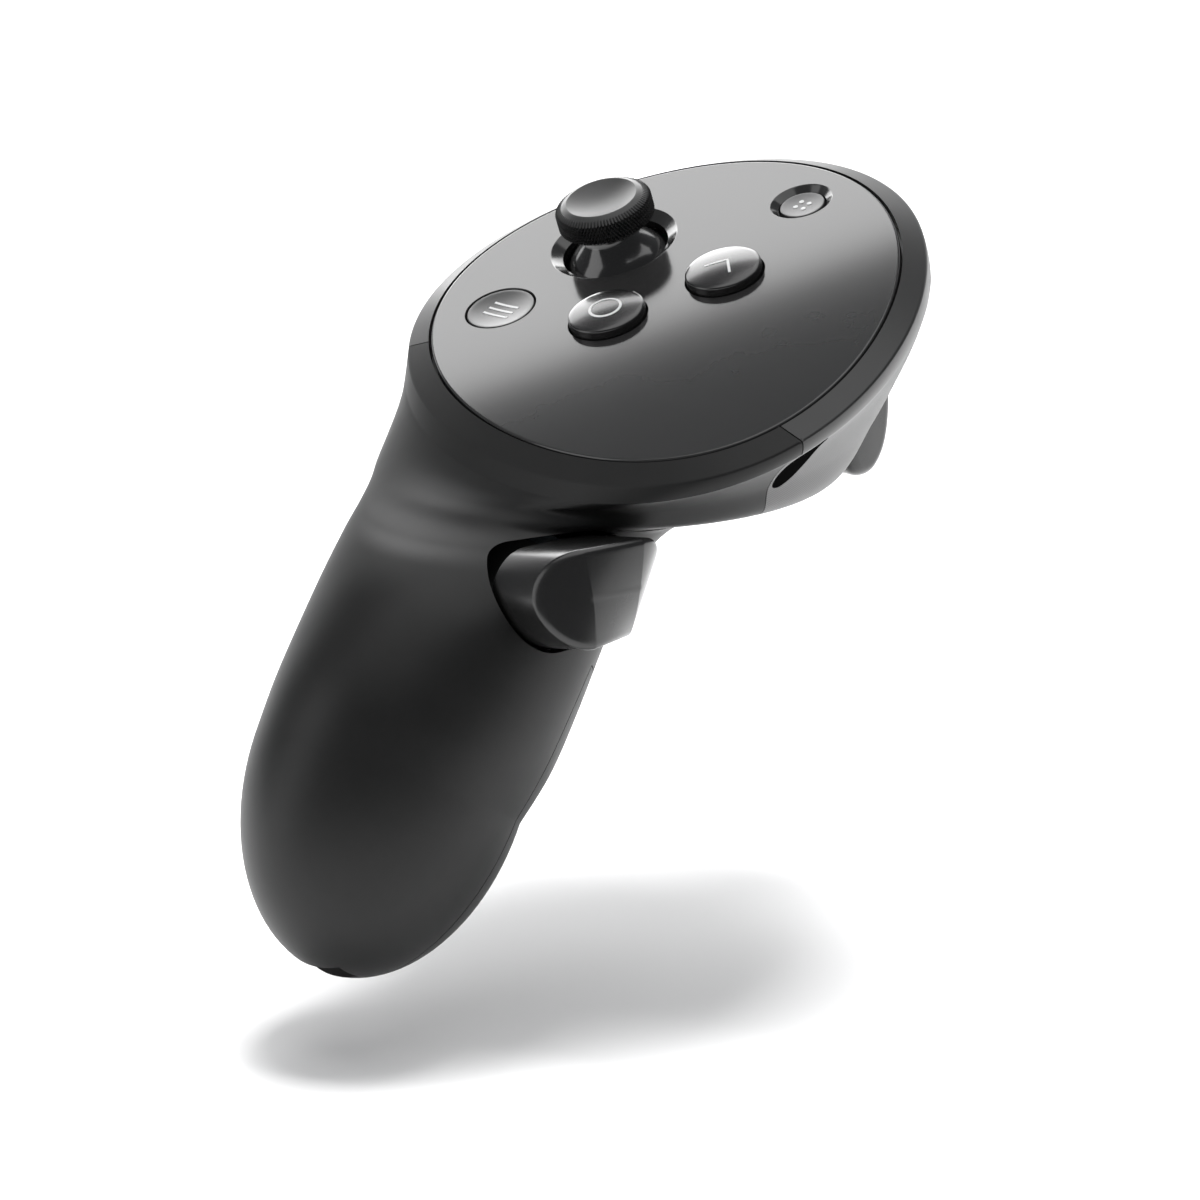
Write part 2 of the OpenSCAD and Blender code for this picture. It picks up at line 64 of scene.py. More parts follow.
# ---- driving dimensions, the same as the CAD's ----
PLATE_A, PLATE_B = 33.6, 28.6          # half length and half width of the egg outline
EGG_TAPER, EGG_SKEW, EGG_TURN = 0.115, 0.84, math.radians(140.4)
PLATE_T = 1.8
PLATE_PITCH = math.radians(21)
WALL = 2.0
BEZEL_W = 3.0
SPLIT_Y = -15.3
HANDLE_TILT = math.radians(41)
GRIP_TILT = math.radians(31.4)
CAP_LEN = 23.6
SEAM = 0.15
POCKET_GAP = SEAM + 0.1                # gap round the face plate, a little wide so that it reads as a line
BUTTON_R, BUTTON_RISE = 4.7, 1.3
MENU_R, HOME_R = 4.2, 2.8
CAP_R = 5.6
STICK_HOLE_R = 6.6
BUTTON_GAP = 0.2
FLANGE_Z = -2.1
STICK_AT = (-17.3, 10.3)
STICK_PIVOT_Z = -6.0
X_AT, Y_AT = (-6.5, -3.7), (1.8, 8.8)
MENU_AT, HOME_AT = (-21.7, -6.4), (0.45, 25.6)
GRIP_AT = (-12.7, 37.9)
GRIP_TURN, GRIP_DIP, GRIP_ROLL = math.radians(-13.7), math.radians(-6.2), math.radians(27.2)
GRIP_LEN, GRIP_H, GRIP_SHIFT = 19.0, 11.6, -1.2
PAD_OVAL = (1.1, -18.6, 21.8, 13.3)    # centre and half axes of the oval that the grip button follows
TRIGGER_X, TRIGGER_W, TRIGGER_GAP = -13.0, 17.5, 0.6
TRIGGER_SLOT_Z = -12.0
DOOR_Y, DOOR_TOP = -2.2, 45.0
PIN_AT = (-7.0, 87.2)
NOTCH = (8.0, 3.8, 5.4)

# Shell stations: rear y, rear z, front y, front z, centre x, half width, share of the egg outline
STATIONS = np.array([
    [-28.7, 0.0, 32.9, 0.0, 0.0, 30.0, 1.0],
    [-31.7, -1.6, 35.9, -1.6, 0.0, 33.0, 1.0],
    [-33.6, -3.0, 36.2, -5.2, -3.0, 29.0, 0.9],
    [-35.0, -3.6, 32.0, -11.5, -3.5, 28.5, 0.55],
    [-36.6, -3.9, 23.0, -20.0, -4.0, 28.0, 0.2],
    [-38.7, -4.0, 13.5, -26.0, -4.0, 27.0, 0],
    [-41.2, -4.1, 4.0, -23.8, -5.0, 22.5, 0],
    [-45.0, -3.9, -6.7, -20.0, -4.4, 19.3, 0],
    [-49.5, -3.7, -18.0, -19.8, -3.0, 17.8, 0],
    [-55.5, -4.4, -28.5, -25.0, -1.5, 17.3, 0],
    [-62.5, -6.6, -37.0, -31.4, -0.7, 16.6, 0],
    [-68.0, -9.2, -44.2, -36.2, -0.3, 16.1, 0],
    [-73.0, -13.0, -50.8, -39.0, -0.3, 15.5, 0]])
LAST = len(STATIONS) - 1

# ---- frames ----
STRAP = np.array([
    0,
    -math.cos(GRIP_TILT) * PIN_AT[1] + math.sin(GRIP_TILT) * PIN_AT[0],
    -math.sin(GRIP_TILT) * PIN_AT[1] - math.cos(GRIP_TILT) * PIN_AT[0]])


def turn(axis, angle):
    return np.array(Matrix.Rotation(angle, 3, axis))


R_PLATE = turn("X", PLATE_PITCH)
R_GRIP = turn("X", GRIP_TILT - math.pi / 2)
R_HANDLE = turn("X", HANDLE_TILT - math.pi / 2)
R_PAD = R_HANDLE @ turn("Z", GRIP_TURN) @ turn("Y", GRIP_DIP) @ turn("X", GRIP_ROLL)
PAD_ORIGIN = R_HANDLE @ np.array([0, GRIP_AT[0], -GRIP_AT[1]])


def to_row(points):
    return (np.atleast_2d(points) - STRAP) @ R_PLATE.T * MM


def placed(points, rotation, origin=(0, 0, 0)):
    return np.atleast_2d(points) @ np.asarray(rotation).T + np.asarray(origin)


# ---- the body's loft ----
def egg(phi, off=0.0):
    t = phi - EGG_TURN
    u = (PLATE_A + off) * np.cos(t) - EGG_SKEW * np.cos(2 * t)
    w = (PLATE_B + off) * np.sin(t) * (1 + EGG_TAPER * np.cos(t))
    c, s = math.cos(EGG_TURN), math.sin(EGG_TURN)
    return -0.3 + u * c - w * s, 0.8 + u * s + w * c


def spline(a, b, c, d, t):
    return 0.5 * (2 * b + (c - a) * t + (2 * a - 5 * b + 4 * c - d) * t * t
                  + (3 * b - a - 3 * c + d) * t ** 3)


def at_station(tab, i, t):
    if i < 2:
        return tab[i] + (tab[i + 1] - tab[i]) * t
    before = 2 * tab[i] - tab[i + 1] if i == 2 else tab[i - 1]
    return spline(before, tab[i], tab[i + 1], tab[min(i + 2, LAST)], t)


def inset(tab, w, side=1.0):
    """The stations moved inwards by w, square to the rear and front profiles."""
    out = tab.copy()
    for i in range(2, LAST + 1):
        r = tab[min(i + 1, LAST)][0:2] - tab[i - 1][0:2]
        f = tab[min(i + 1, LAST)][2:4] - tab[i - 1][2:4]
        r = r / np.linalg.norm(r)
        f = f / np.linalg.norm(f)
        out[i][0:4] += w * np.array([-r[1], r[0], f[1], -f[0]])
        out[i][5] -= side * w
    return out


def ring(s, off, n):
    phi = np.linspace(0, 2 * math.pi, n, endpoint=False)
    ex, ey = egg(phi, off)
    x = s[6] * ex + (1 - s[6]) * (s[4] + s[5] * np.cos(phi))
    t = s[6] * (ey - ey.min()) / (ey.max() - ey.min()) + (1 - s[6]) * (0.5 + 0.5 * np.sin(phi))
    return np.stack([x, s[0] + (s[2] - s[0]) * t, s[1] + (s[3] - s[1]) * t], 1)


def end_ring(s, a, length, n):
    base = ring(s, 0, n)
    mid = np.array([0, (s[0] + s[2]) / 2, (s[1] + s[3]) / 2])
    along = np.array([0, -math.cos(HANDLE_TILT), -math.sin(HANDLE_TILT)])
    return mid + (base - mid) * math.cos(a) + along * length * math.sin(a)


def body_rings(tab, first, off, length, n, steps, ends):
    rings = [ring(at_station(tab, i, j / steps), off * min(1, i + j / steps), n)
             for i in range(first, LAST) for j in range(steps)]
    rings += [end_ring(tab[LAST], math.radians(89) * k / (ends - 1), length, n) for k in range(ends)]
    return rings


def skin(rings):
    n, m = len(rings[0]), len(rings)
    faces = [list(range(n - 1, -1, -1)), [(m - 1) * n + i for i in range(n)]]
    for k in range(m - 1):
        for i in range(n):
            a, b = k * n + i, k * n + (i + 1) % n
            faces.append([a, b, b + n, a + n])
    return np.concatenate(rings), faces


# ---- meshes ----
def new_mesh(name, points, faces):
    mesh = bpy.data.meshes.new(name)
    mesh.from_pydata([tuple(p) for p in to_row(points)], [], [tuple(f) for f in faces])
    mesh.update()
    bm = bmesh.new()
    bm.from_mesh(mesh)
    bmesh.ops.recalc_face_normals(bm, faces=bm.faces)
    bm.to_mesh(mesh)
    bm.free()
    obj = bpy.data.objects.new(name, mesh)
    bpy.context.scene.collection.objects.link(obj)
    return obj


def apply_modifiers(obj):
    graph = bpy.context.evaluated_depsgraph_get()
    mesh = bpy.data.meshes.new_from_object(obj.evaluated_get(graph))
    old = obj.data
    obj.modifiers.clear()
    obj.data = mesh
    bpy.data.meshes.remove(old)
    return obj


def boolean(obj, other, operation):
    mod = obj.modifiers.new("cut", "BOOLEAN")
    mod.operation = operation
    mod.solver = "MANIFOLD"
    mod.object = other
    apply_modifiers(obj)
    bpy.data.objects.remove(other)
    return obj


def copy_of(obj, name):
    dup = bpy.data.objects.new(name, obj.data.copy())
    bpy.context.scene.collection.objects.link(dup)
    return dup


def smooth(obj, angle=35):
    obj.data.polygons.foreach_set("use_smooth", [True] * len(obj.data.polygons))
    obj.data.set_sharp_from_angle(angle=math.radians(angle))
    return obj


def box_mesh(name, low, high, rotation=np.eye(3), origin=(0, 0, 0)):
    low, high = np.array(low, float), np.array(high, float)
    corners = [[low[0] if x == 0 else high[0], low[1] if y == 0 else high[1], low[2] if z == 0 else high[2]]
               for z in (0, 1) for y in (0, 1) for x in (0, 1)]
    faces = [[0, 2, 3, 1], [4, 5, 7, 6], [0, 1, 5, 4], [2, 6, 7, 3], [0, 4, 6, 2], [1, 3, 7, 5]]
    return new_mesh(name, placed(corners, rotation, origin), faces)


def prism_mesh(name, outline, z0, z1, rotation=np.eye(3), origin=(0, 0, 0)):
    """An outline in x and y, extruded along z, then turned and placed."""
    outline = np.asarray(outline, float)
    n = len(outline)
    points = np.concatenate([np.c_[outline, np.full(n, z0)], np.c_[outline, np.full(n, z1)]])
    faces = [list(range(n - 1, -1, -1)), list(range(n, 2 * n))]
    faces += [[i, (i + 1) % n, n + (i + 1) % n, n + i] for i in range(n)]
    return new_mesh(name, placed(points, rotation, origin), faces)


def row_faces(rows):
    """Faces between neighbouring rows of point numbers; a row that repeats one point makes triangles."""
    n = len(rows[0])
    faces = []
    for a, b in zip(rows, rows[1:]):
        for i in range(n):
            j = (i + 1) % n
            quad = [a[i], a[j], b[j], b[i]]
            face = [v for k, v in enumerate(quad) if v not in quad[:k]]
            if len(face) > 2:
                faces.append(face)
    return faces


def lathe(name, profile, n, rotation=np.eye(3), origin=(0, 0, 0)):
    """A closed body turned round z. The profile runs from the axis to the axis as (r, z) pairs."""
    angles = np.linspace(0, 2 * math.pi, n, endpoint=False)
    points, rows = [], []
    for r, z in profile:
        if rows and (r, z) == profile[0]:
            rows.append(rows[0])
        elif r < 1e-6:
            rows.append([len(points)] * n)
            points.append([0, 0, z])
        else:
            rows.append(list(range(len(points), len(points) + n)))
            points += [[r * math.cos(a), r * math.sin(a), z] for a in angles]
    return new_mesh(name, placed(points, rotation, origin), row_faces(rows))


def arc(cx, cz, r, a0, a1, n):
    """Points of an arc in a profile, angles in degrees."""
    return [(cx + r * math.cos(math.radians(a0 + (a1 - a0) * k / (n - 1))),
             cz + r * math.sin(math.radians(a0 + (a1 - a0) * k / (n - 1)))) for k in range(n)]


def stadium(l, w, n=24):
    """Outline of a slot l long and w wide."""
    half = (l - w) / 2
    ends = [(half, -90), (-half, 90)]
    return [(cx + w / 2 * math.cos(math.radians(a0 + 180 * k / n)),
             w / 2 * math.sin(math.radians(a0 + 180 * k / n))) for cx, a0 in ends for k in range(n + 1)]


# ---- materials ----
class Nodes:
    """A short way to build a procedural material."""

    def __init__(self, name):
        self.mat = bpy.data.materials.new(name)
        self.mat.use_nodes = True
        self.tree = self.mat.node_tree
        self.shader = self.tree.nodes["Principled BSDF"]
        self.where = self.add("ShaderNodeTexCoord").outputs["Object"]

    def add(self, kind, **settings):
        node = self.tree.nodes.new(kind)
        for key, value in settings.items():
            setattr(node, key, value)
        return node

    def link(self, a, b):
        self.tree.links.new(a, b)

    def put(self, node, **values):
        for key, value in values.items():
            node.inputs[key.replace("_", " ")].default_value = value
        return node

    def noise(self, scale, detail=3.0, rough=0.55):
        node = self.put(self.add("ShaderNodeTexNoise"), Scale=scale, Detail=detail, Roughness=rough)
        self.link(self.where, node.inputs["Vector"])
        return node.outputs["Fac"]

    def ramp(self, value, low, high, a, b):
        node = self.add("ShaderNodeMapRange")
        for key, number in zip(("From Min", "From Max", "To Min", "To Max"), (low, high, a, b)):
            node.inputs[key].default_value = number
        self.link(value, node.inputs["Value"])
        return node.outputs["Result"]

    def mix(self, factor, a, b):
        node = self.add("ShaderNodeMix", data_type="RGBA")
        node.inputs[6].default_value = (*a, 1)
        node.inputs[7].default_value = (*b, 1)
        self.link(factor, node.inputs[0])
        return node.outputs[2]

    def math(self, kind, a, b):
        node = self.add("ShaderNodeMath", operation=kind)
        for socket, value in zip(node.inputs, (a, b)):
            if isinstance(value, (int, float)):
                socket.default_value = value
            else:
                self.link(value, socket)
        return node.outputs[0]

    def bump(self, height, strength, distance, normal=None):
        node = self.put(self.add("ShaderNodeBump"), Strength=strength, Distance=distance)
        self.link(height, node.inputs["Height"])
        if normal is not None:
            self.link(normal, node.inputs["Normal"])
        return node.outputs["Normal"]


def plastic(name, dark, light, roughness, grain=9000, grain_depth=0.00001, grain_strength=0.25,
            spread=0.06, coat=0.0, coat_roughness=0.1, specular=0.5):
    """Moulded plastic: a mottled tone, fine spark grain and roughness that varies with handling."""
    n = Nodes(name)
    tone = n.mix(n.ramp(n.noise(120, 4), 0.3, 0.7, 0, 1), dark, light)
    n.link(tone, n.shader.inputs["Base Color"])
    rough = n.ramp(n.noise(45, 5, 0.6), 0.25, 0.75, roughness - spread, roughness + spread)
    n.link(rough, n.shader.inputs["Roughness"])
    n.put(n.shader, Coat_Weight=coat, Coat_Roughness=coat_roughness, Specular_IOR_Level=specular)
    if grain_strength:
        n.link(n.bump(n.noise(grain, 2), grain_strength, grain_depth), n.shader.inputs["Normal"])
    return n


def metal(name, dark, light, roughness):
    n = Nodes(name)
    n.link(n.mix(n.noise(300, 4), dark, light), n.shader.inputs["Base Color"])
    n.put(n.shader, Metallic=1.0)
    rough = n.ramp(n.noise(900, 4), 0.3, 0.7, roughness - 0.06, roughness + 0.08)
    n.link(rough, n.shader.inputs["Roughness"])
    n.link(n.bump(n.noise(5000, 2), 0.15, 0.00001), n.shader.inputs["Normal"])
    return n.mat


def grey(value, tint=0.0):
    return (value * (1 - tint), value, value * (1 + tint))


RIB_AND_UNDERLIGHT_TONE = 0.11                        # tone below the bezel: partly the ribs' own tone, partly painted light from the floor below
BEZEL_LOW = (-4.9, -4.2)               # plate heights between which the bezel's smooth finish begins and the lighter, partly painted-light tone below it ends


def ribbed_underlit_shell():
    """The front shell: a smooth dark bezel, and below it fine hairlines that run with the plate, in a
    lighter tone that is partly the hairline finish's own and partly painted light from the floor below.
    """
    n = Nodes("shell_textured")
    turned = n.add("ShaderNodeMapping")
    turned.inputs["Rotation"].default_value = (-PLATE_PITCH, 0, 0)
    n.link(n.where, turned.inputs["Vector"])
    split = n.add("ShaderNodeSeparateXYZ")
    n.link(turned.outputs["Vector"], split.inputs[0])
    low, high = [(z - STRAP[2]) * MM for z in BEZEL_LOW]
    ribs_and_underlight = n.ramp(split.outputs["Z"], low, high, 1.0, 0.0)
    # below the bezel the base colour is painted lighter, partly for the ribs' own tone and partly as
    # painted light from the floor
    n.link(n.mix(ribs_and_underlight, grey(0.022), grey(RIB_AND_UNDERLIGHT_TONE)), n.shader.inputs["Base Color"])
    mottle = n.ramp(n.noise(45, 5, 0.6), 0.25, 0.75, -0.04, 0.04)
    n.link(n.math("ADD", n.ramp(ribs_and_underlight, 0, 1, 0.36, 0.5), mottle), n.shader.inputs["Roughness"])
    wave = n.put(n.add("ShaderNodeTexWave", bands_direction="Z", wave_profile="SIN"),
                 Scale=900.0, Distortion=0.6, Detail=1.0)
    n.link(turned.outputs["Vector"], wave.inputs["Vector"])
    lines = n.bump(n.math("MULTIPLY", wave.outputs["Fac"], ribs_and_underlight), 0.55, 0.00004)
    n.link(n.bump(n.noise(7000, 2), 0.3, 0.00001, lines), n.shader.inputs["Normal"])
    return n.mat


def soft_shell():
    """Soft-touch coating on the handle: deep black with a broad sheen."""
    n = plastic("shell_soft", grey(0.007), grey(0.010), 0.46, grain=12000, grain_strength=0.2, spread=0.04,
                specular=0.3)
    return n.mat


def plate_material():
    """The face plate: a nearly even tone with a clear, slightly soft reflection."""
    return plastic("plate_satin", grey(0.0315), grey(0.0325), 0.13, grain_strength=0, spread=0).mat


def circuit():
    """Green solder mask over copper tracks."""
    n = Nodes("circuit_board")
    brick = n.put(n.add("ShaderNodeTexBrick"), Scale=600.0, Mortar_Size=0.03)
    n.link(n.where, brick.inputs["Vector"])
    tone = n.mix(brick.outputs["Fac"], (0.012, 0.10, 0.045), (0.05, 0.22, 0.10))
    n.link(tone, n.shader.inputs["Base Color"])
    n.link(n.bump(brick.outputs["Fac"], 0.4, 0.00003), n.shader.inputs["Normal"])
    n.link(n.ramp(n.noise(400), 0.3, 0.7, 0.28, 0.4), n.shader.inputs["Roughness"])
    return n.mat


def cell_sleeve():
    """The AA cell's plain blue-grey sleeve."""
    return plastic("cell_wrap", (0.10, 0.13, 0.16), (0.13, 0.16, 0.19), 0.3, coat=0.3).mat


MATERIALS = {
    "plate_satin": plate_material(),
    "shell_textured": ribbed_underlit_shell(),
    "shell_soft": soft_shell(),
    "window_gloss": plastic("window_gloss", grey(0.003), grey(0.004), 0.4, spread=0.03, specular=0).mat,
    "inner_plastic": plastic("inner_plastic", grey(0.03), grey(0.045), 0.5).mat,
    "circuit_board": circuit(),
    "silicone": plastic("silicone", grey(0.16), grey(0.2), 0.6, grain=4000).mat,
    "button_gloss": plastic("button_gloss", grey(0.010), grey(0.014), 0.22, spread=0.03, coat=0.25).mat,
    "button_satin": plastic("button_satin", grey(0.040), grey(0.048), 0.3, spread=0.03).mat,
    "dome_gloss": plastic("dome_gloss", grey(0.006), grey(0.008), 0.14, spread=0.02, coat=0.7).mat,
    "cap_rubber": plastic("cap_rubber", grey(0.024), grey(0.032), 0.4, grain=6000, grain_strength=0.3).mat,
    "trigger_gloss": plastic("trigger_gloss", grey(0.008), grey(0.011), 0.26, spread=0.03, coat=0.2,
                             coat_roughness=0.2).mat,
    "steel": metal("steel", (0.42, 0.42, 0.43), (0.62, 0.62, 0.63), 0.3),
    "cell_wrap": cell_sleeve(),
}
MARK = plastic("mark_ink", grey(0.80), grey(0.88), 0.5, grain=5000).mat

SLOT_OF = {part["node"]: part["material_slot"] for part in frame["record"]["subparts"]}
BODY_OF = {node: body for body, nodes in frame["record"]["behaviour"]["bodies"].items() for node in nodes}


def finish_piece(obj, node, material=None, replaces=True):
    """Gives a piece its material and hangs it on the body of the CAD node that it stands for."""
    slot = SLOT_OF[node]
    obj.data.materials.clear()
    obj.data.materials.append(material or MATERIALS[slot])
    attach(obj, BODY_OF[node])
    if replaces:
        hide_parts(node)
    return obj


# ---- the shells ----
N_RING = 128 * FINE
N_STEP = 6 * FINE
outer_rings = body_rings(STATIONS, 0, BEZEL_W, CAP_LEN, N_RING, N_STEP, 14 * FINE)
outer = smooth(new_mesh("outer", *skin(outer_rings)), 180)


def hollow_rings(w, off=-BEZEL_W):
    pocket = [np.c_[np.stack(egg(np.linspace(0, 2 * math.pi, 96, endpoint=False), -1.6), 1), np.full(96, z)]
              for z in (1, -3.2)]
    tab = inset(STATIONS, w, 1.3)
    return pocket + body_rings(tab, 2, off, CAP_LEN - w - 3.4, 96, 3, 8)


def follow_loft(obj, reach=0.00002):
    """Takes shading normals from the uncut loft wherever a face lies on it, so cuts leave no creases."""
    source = outer.data
    tree = BVHTree.FromPolygons([v.co for v in source.vertices], [p.vertices for p in source.polygons])
    mesh = smooth(obj, 30).data
    found = {}
    for v in mesh.vertices:
        point, normal, index, distance = tree.find_nearest(v.co)
        if distance < reach:
            corners = source.polygons[index].vertices
            weights = [1 / (1e-7 + (source.vertices[c].co - point).length) for c in corners]
            blended = sum((source.vertices[c].normal * w for c, w in zip(corners, weights)), Vector())
            found[v.index] = blended.normalized()
    normals = [tuple(c.vector) for c in mesh.corner_normals]
    for poly in mesh.polygons:
        for loop in poly.loop_indices:
            near = found.get(mesh.loops[loop].vertex_index)
            if near is not None and near.dot(poly.normal) > 0.8:
                normals[loop] = tuple(near)
    mesh.normals_split_custom_set(normals)
    return obj


def pad_prism(grow, x0, x1):
    """Prism of the grip button's outline along its pressing axis, which is the pad frame's x."""
    outline = stadium(GRIP_LEN + 2 * grow, GRIP_H + 2 * grow, 32)
    to_pad = np.array([[0, 0, 1], [1, 0, 0], [0, 1, 0]], float)
    shifted = [(y + GRIP_SHIFT, z) for y, z in outline]
    return prism_mesh("pad_prism", shifted, x0, x1, R_PAD @ to_pad, PAD_ORIGIN)


shell = copy_of(outer, "shell")
boolean(shell, new_mesh("hollow", *skin(hollow_rings(WALL))), "DIFFERENCE")
plate_outline = np.stack(egg(np.linspace(0, 2 * math.pi, 96 * FINE, endpoint=False), POCKET_GAP), 1)
boolean(shell, prism_mesh("pocket", plate_outline, -PLATE_T, 1), "DIFFERENCE")
boolean(shell, pad_prism(0.6, 4, 40), "DIFFERENCE")
boolean(shell, box_mesh("slot", [TRIGGER_X - TRIGGER_GAP, 14.5, -45],
                        [TRIGGER_X + TRIGGER_W + TRIGGER_GAP, 36.5, TRIGGER_SLOT_Z]), "DIFFERENCE")
boolean(shell, box_mesh("notch", [-NOTCH[0] / 2, PIN_AT[0] - NOTCH[1] / 2, -PIN_AT[1] - NOTCH[2]],
                        [NOTCH[0] / 2, PIN_AT[0] + NOTCH[1] / 2, -PIN_AT[1] + 2.6], R_GRIP), "DIFFERENCE")


def window_prism_side(grow):
    outline = np.array([[-14.7, -9.9], [-14.7, -7.6], [-14, -5.6], [-12.6, -4.2], [-11, -4],
                        [-10.2, -5.4], [-10.6, -8], [-11.9, -10], [-13.5, -10.7]])
    middle = outline.mean(0)
    span = np.linalg.norm(outline - middle, axis=1, keepdims=True)
    outline = middle + (outline - middle) * (1 + grow / span)
    return prism_mesh("window_cut", closed_curve(outline, 72), 15, 40, [[0, 0, 1], [1, 0, 0], [0, 1, 0]])


def closed_curve(points, n):
    """A smooth closed curve through the points."""
    points = np.asarray(points, float)
    m = len(points)
    out = []
    for k in range(n):
        i, t = divmod(k * m / n, 1)
        i = int(i)
        out.append(spline(points[i - 1], points[i], points[(i + 1) % m], points[(i + 2) % m], t))
    return np.array(out)


def window_prism_front(grow):
    size, corner = 2.5, 1.5
    outline = [p for cx, cy, a in ((1, -1, -90), (1, 1, 0), (-1, 1, 90), (-1, -1, 180))
               for p in arc(cx * size, cy * size, corner + grow, a, a + 90, 8)]
    to_x = turn("Z", math.radians(45)) @ np.array([[0, 0, 1], [1, 0, 0], [0, 1, 0]], float)
    return prism_mesh("window_cut", outline, -9, 11, to_x, (22, 23, -7.6))


def front_region(gap):
    return box_mesh("region", [-50, SPLIT_Y + gap, -60], [50, 84, 10])


def door_region(gap):
    return box_mesh("region", [-30, DOOR_Y - gap, -110], [30, 40, -DOOR_TOP + gap], R_GRIP)


front = copy_of(shell, "front_case")
boolean(front, front_region(SEAM / 2), "INTERSECT")
boolean(front, window_prism_side(0.08), "DIFFERENCE")
boolean(front, window_prism_front(0.08), "DIFFERENCE")
finish_piece(follow_loft(front), "front_shell")

door = copy_of(shell, "door_cover")
boolean(door, door_region(0), "INTERSECT")
finish_piece(follow_loft(door), "battery_door")

handle = shell
handle.name = "handle_case"
boolean(handle, front_region(-SEAM / 2), "DIFFERENCE")
boolean(handle, door_region(SEAM), "DIFFERENCE")
finish_piece(follow_loft(handle), "handle_shell")

for name, prism in (("window_side", window_prism_side), ("window_front", window_prism_front)):
    window = copy_of(outer, name + "_lens")
    boolean(window, prism(0), "INTERSECT")
    boolean(window, new_mesh("hollow", *skin(hollow_rings(1.2, BEZEL_W - 2.4))), "DIFFERENCE")
    finish_piece(follow_loft(window), name)


# ---- the face plate ----
def egg_shape(off, z, n):
    return np.c_[np.stack(egg(np.linspace(0, 2 * math.pi, n, endpoint=False), off), 1), np.full(n, z)]


EDGE_R = 0.3
PLATE_INSET = 0.05                     # how far the plate's edge is drawn in, to open its seam
plate_rings = [egg_shape(-PLATE_INSET, -PLATE_T, 128 * FINE)]
plate_rings += [egg_shape(-PLATE_INSET - EDGE_R + x, -EDGE_R + z, 128 * FINE)
                for x, z in arc(0, 0, EDGE_R, 0, 90, 6)]
plate = new_mesh("plate_top", *skin(plate_rings))


def hole(at, r, lip_r, lip_depth, edge=0.12):
    """Cuts a round hole with a sloping or rounded lip."""
    profile = [(0, -4), (r, -4), (r, -lip_depth)]
    if lip_depth > edge:
        profile += [(lip_r - edge, -edge), (lip_r, -0.02)]
    profile += [(lip_r + edge * 0.6, 0.01), (lip_r + edge, 0.3), (0, 0.3)]
    boolean(plate, lathe("hole", profile, 64 * FINE, origin=(*at, 0)), "DIFFERENCE")


hole(STICK_AT, STICK_HOLE_R, STICK_HOLE_R + 1.35, 0.9)
hole(X_AT, BUTTON_R + BUTTON_GAP, BUTTON_R + BUTTON_GAP, 0.1)
hole(Y_AT, BUTTON_R + BUTTON_GAP, BUTTON_R + BUTTON_GAP, 0.1)
hole(MENU_AT, MENU_R + BUTTON_GAP, MENU_R + BUTTON_GAP, 0.1)
hole(HOME_AT, HOME_R + BUTTON_GAP, HOME_R + 1.05, 0.7)


def flat_top(obj, angle=35):
    """Gives every face square to the plate its own normal, so the flat top shades flat."""
    mesh = smooth(obj, angle).data
    normals = [tuple(c.vector) for c in mesh.corner_normals]
    up = Vector(R_PLATE @ np.array([0, 0, 1.0]))
    for poly in mesh.polygons:
        if abs(poly.normal.dot(up)) > 0.9999:
            for loop in poly.loop_indices:
                normals[loop] = tuple(poly.normal)
    mesh.normals_split_custom_set(normals)
    return obj


finish_piece(flat_top(plate), "face_plate")


# ---- buttons and their marks ----
def button(name, node, at, r, profile):
    base = [(0, FLANGE_Z - 0.8), (r + 0.9, FLANGE_Z - 0.8), (r + 0.9, FLANGE_Z), (r, FLANGE_Z)]
    return finish_piece(smooth(lathe(name, base + profile, 64 * FINE, origin=(*at, 0)), 40), node)


def ribbon(path, width, closed=False):
    """Left and right edges of a stroke along a path, as one list: all left points, then all right ones."""
    path = np.asarray(path, float)
    ahead = np.roll(path, -1, 0) - np.roll(path, 1, 0)
    if not closed:
        ahead[0], ahead[-1] = path[1] - path[0], path[-1] - path[-2]
    side = np.c_[-ahead[:, 1], ahead[:, 0]]
    side = side / np.linalg.norm(side, axis=1, keepdims=True) * width / 2
    return np.concatenate([path + side, path - side])


def add_mark(name, node, at, strokes, width, height):
    points, faces = [], []
    for path, closed in strokes:
        edges = ribbon(path, width, closed)
        n, start = len(path), len(points)
        for lift in (-0.06, 0.05):
            points += [[at[0] + x, at[1] + y, height(x, y) + lift] for x, y in edges]
        low, high = start, start + 2 * n
        steps = range(n if closed else n - 1)
        for i in steps:
            j = (i + 1) % n
            for base in (low, high):
                faces.append([base + i, base + j, base + n + j, base + n + i])
            faces.append([low + i, low + j, high + j, high + i])
            faces.append([low + n + i, low + n + j, high + n + j, high + n + i])
        if not closed:
            for i in (0, n - 1):
                faces.append([low + i, low + n + i, high + n + i, high + i])
    obj = new_mesh(name, points, faces)
    return finish_piece(obj, node, MARK, replaces=False)


CROWN = 0.4
FACE_EDGE = 0.28


def face_profile(r):
    """A straight glossy side, a small round edge and a crowned top."""
    side = BUTTON_RISE - FACE_EDGE - 0.15
    edge = arc(r - FACE_EDGE, side, FACE_EDGE, 0, 78, 5)
    start_r, start_z = edge[-1]
    dome = [(start_r * (1 - k / 10), start_z + CROWN * (1 - (1 - k / 10) ** 2)) for k in range(1, 11)]
    return [(r, FLANGE_Z + 0.2)] + edge + dome


def crown_height(x, y):
    r0 = BUTTON_R - FACE_EDGE
    return BUTTON_RISE - 0.15 - 0.006 + CROWN * (1 - (x * x + y * y) / (r0 * r0))


def dish_profile(r, rim, depth, edge=0.15):
    bowl = [((r - edge) * (1 - k / 10), rim - depth * (1 - (1 - k / 10) ** 2)) for k in range(0, 11)]
    return [(r, FLANGE_Z + 0.2)] + arc(r - edge, rim - edge, edge, 0, 80, 4) + bowl


